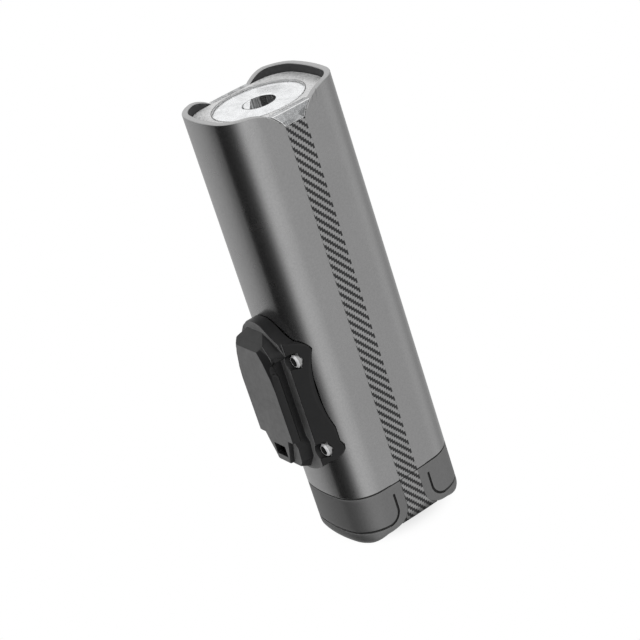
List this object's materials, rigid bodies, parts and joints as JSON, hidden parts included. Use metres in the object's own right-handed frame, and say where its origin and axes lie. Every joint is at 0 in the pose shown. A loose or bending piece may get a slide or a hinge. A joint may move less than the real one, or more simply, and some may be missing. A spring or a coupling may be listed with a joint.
{
  "type": "bike headlight",
  "caption": "Slim rechargeable bike headlight: metal tube body, clear scooped front lens, side strips, tail cap with covered charging port, and a screwed-on rail mount.",
  "frame": {"origin": "centre of the mount's contact face", "axes": "+Z along the body, in the direction of the beam; -Y is the outward side of the mount's contact face, which points down or up in use; +Y is the side with the power button; the light stands on its tail"},
  "size_m": [0.026, 0.0378, 0.107],
  "materials": {
    "shell_metal": "satin, fine bead-blasted and anodised grey",
    "cap_plastic": "satin moulded plastic in the shell's grey",
    "strip_twill": "satin film with a grey and dark twill",
    "clear_lens": "clear polycarbonate, frosted round the optic",
    "clear_optic": "clear moulded optic",
    "seal_rubber": "soft black silicone",
    "holder_plastic": "pale moulded plastic",
    "emitter": "yellow phosphor under a clear dome",
    "led_board_face": "white solder mask over aluminium",
    "bare_aluminium": "machined",
    "screw_steel": "bright zinc",
    "mount_screw_steel": "polished nickel",
    "wire_sleeve": "silicone sleeve",
    "cell_sleeve": null,
    "contact_metal": "nickel strip",
    "socket_metal": "drawn steel shell",
    "pad_foam": "closed-cell foam",
    "frame_plastic": "moulded black plastic",
    "circuit_board": "green solder mask",
    "ferrite": "pressed ferrite",
    "chip_plastic": "moulded epoxy",
    "light_window": "milky clear plastic",
    "button_plastic": "fine-textured black plastic",
    "flex_film": "amber flexible circuit",
    "cover_rubber": "matt black silicone",
    "mount_plastic": "fine-textured glass-filled nylon"
  },
  "bodies": {
    "light": {"body_shell": "shell_metal", "tail_cap": "cap_plastic", "side_strip_right": "strip_twill", "side_strip_left": "strip_twill", "front_lens": "clear_lens", "lens_gasket": "seal_rubber", "optic": "clear_optic", "optic_holder": "holder_plastic", "led_emitter": "emitter", "led_board": "led_board_face", "heat_sink": "bare_aluminium", "front_screws": "screw_steel", "led_wires": "wire_sleeve", "battery_cell": "cell_sleeve", "front_contact": "contact_metal", "rear_contact": "contact_metal", "front_cell_pad": "pad_foam", "rear_cell_pad": "pad_foam", "cell_cushion": "pad_foam", "inner_frame": "frame_plastic", "main_board": "circuit_board", "board_screws": "screw_steel", "power_inductor": "ferrite", "control_chips": "chip_plastic", "level_lights": "light_window", "light_pipe": "light_window", "tact_switch": "contact_metal", "button_seal": "seal_rubber", "usb_board": "circuit_board", "usb_board_screws": "screw_steel", "usb_socket": "socket_metal", "board_flex": "flex_film", "tail_gasket": "seal_rubber", "cap_screws": "screw_steel", "mount_plate": "mount_plastic", "mount_screws": "mount_screw_steel"},
    "button": {"power_button": "button_plastic"},
    "plunger": {"switch_plunger": "light_window"},
    "cover": {"port_cover": "cover_rubber"}
  },
  "joints": [
    {"name": "button_press", "type": "slide", "parent": "light", "child": "button", "axis": [0, -1, 0], "range_m": [0, 0.0005], "stiffness_N_per_m": 1500, "springref_m": -0.0008},
    {"name": "plunger_press", "type": "slide", "parent": "light", "child": "plunger", "axis": [0, -1, 0], "range_m": [0, 0.0005]},
    {"name": "cover_swing", "type": "hinge", "parent": "light", "child": "cover", "pos_m": [0, 0.0367, -0.0282], "axis": [1, 0, 0], "range_deg": [0, 110]}
  ],
  "couplings": [
    {"joint": "plunger_press", "follows": "button_press", "ratio": 1}
  ]
}
